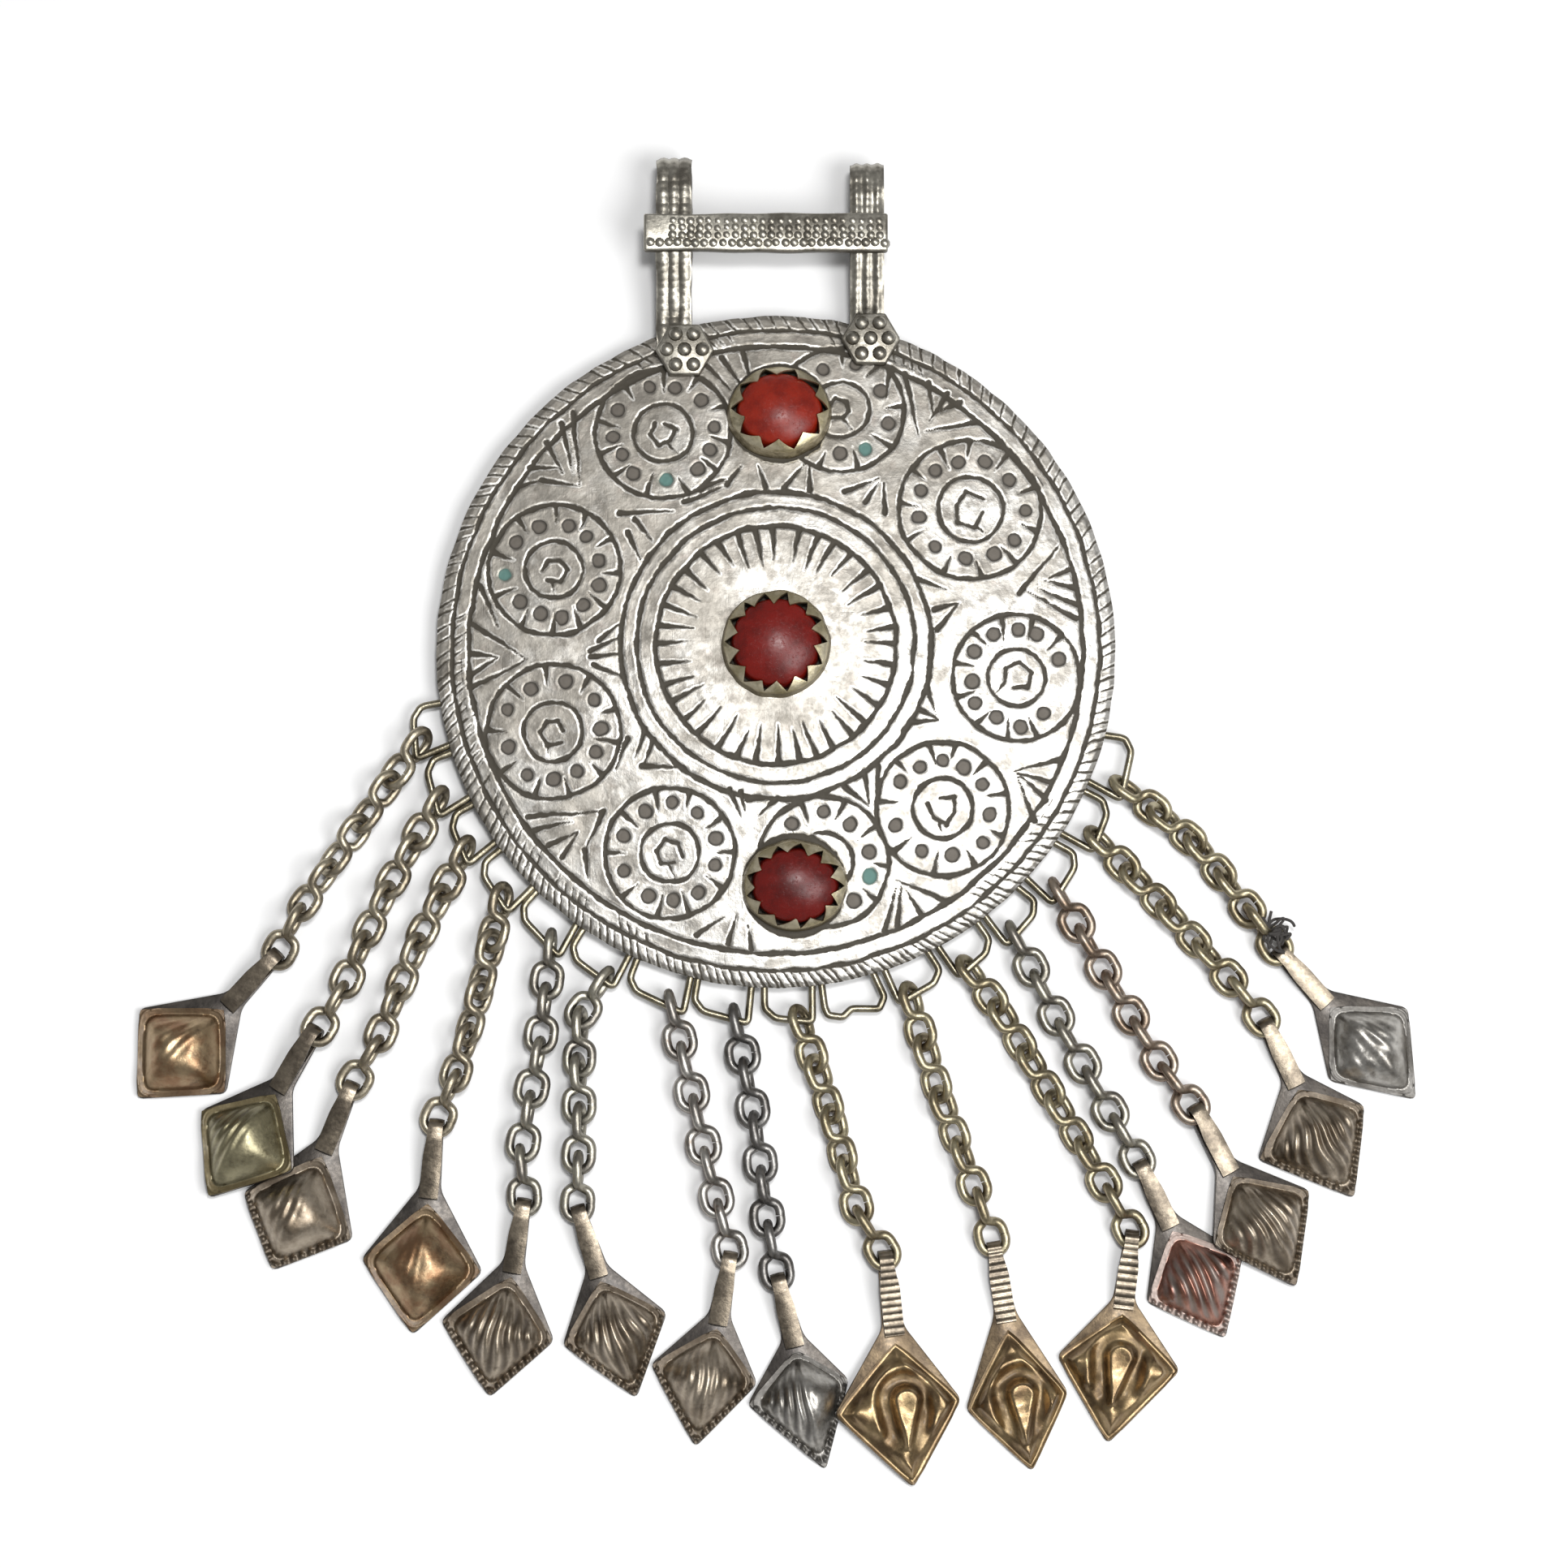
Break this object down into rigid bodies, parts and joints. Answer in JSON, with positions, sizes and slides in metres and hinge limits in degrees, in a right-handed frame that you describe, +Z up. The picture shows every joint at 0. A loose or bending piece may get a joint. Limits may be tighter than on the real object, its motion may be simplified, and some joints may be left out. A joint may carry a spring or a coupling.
{
  "type": "pendant",
  "caption": "Domed, engraved silver disc pendant lying flat, with set red stones, a two-loop hanger with a beaded bar, and a fringe of link chains ending in puffed diamond drops.",
  "frame": {"origin": "middle of the whole pendant's box on the surface that it lies on; the disc's centre is 20.3 mm from it towards the hanger", "axes": "+X to the wearer's left as the pendant is seen from the front, +Y from the drops to the hanger, +Z up out of the disc's engraved face"},
  "size_m": [0.1496, 0.155, 0.0098],
  "materials": {
    "engraved_silver": "hand-engraved silver alloy, worn bright on the highs, dark olive-brown patina in the cuts",
    "red_glass": "deep red glass or carnelian cabochon, semi-matte, worn polish",
    "olive_brass_wire": "drawn brass wire, oxidised to an olive grey",
    "grey_wire": "drawn nickel-silver wire, dull grey",
    "silver_wire": "drawn silvered copper wire, worn pinkish in places",
    "gunmetal_wire": "drawn nickel-silver wire, tarnished to gunmetal",
    "brass_wire": "drawn brass wire, worn and tarnished",
    "copper_grey_wire": "drawn copper alloy wire, brown-grey",
    "nickel_sheet": "stamped nickel-silver sheet, satin, tarnished in the hollows",
    "silver_sheet": "stamped silver sheet, worn bright",
    "golden_sheet": "stamped brass sheet under worn plating, golden brown",
    "brass_sheet": "stamped brass sheet with a raised boteh, worn and tarnished",
    "copper_sheet": "stamped copper sheet with radiating flutes, reddish under a pale worn border"
  },
  "bodies": {
    "root": {"disc_with_hanger": "engraved_silver", "stone_top": "red_glass", "stone_centre": "red_glass", "stone_bottom": "red_glass", "chain_01": "olive_brass_wire", "chain_02": "olive_brass_wire", "chain_03": "olive_brass_wire", "chain_04": "olive_brass_wire", "chain_05": "grey_wire", "chain_06": "grey_wire", "chain_07": "silver_wire", "chain_08": "gunmetal_wire", "chain_09": "brass_wire", "chain_10": "brass_wire", "chain_11": "brass_wire", "chain_12": "grey_wire", "chain_13": "copper_grey_wire", "chain_14": "brass_wire", "chain_15": "brass_wire", "drop_01": "golden_sheet", "drop_02": "golden_sheet", "drop_03": "nickel_sheet", "drop_04": "golden_sheet", "drop_05": "nickel_sheet", "drop_06": "nickel_sheet", "drop_07": "nickel_sheet", "drop_08": "silver_sheet", "drop_09": "brass_sheet", "drop_10": "brass_sheet", "drop_11": "brass_sheet", "drop_12": "copper_sheet", "drop_13": "nickel_sheet", "drop_14": "nickel_sheet", "drop_15": "silver_sheet"}
  },
  "joints": []
}
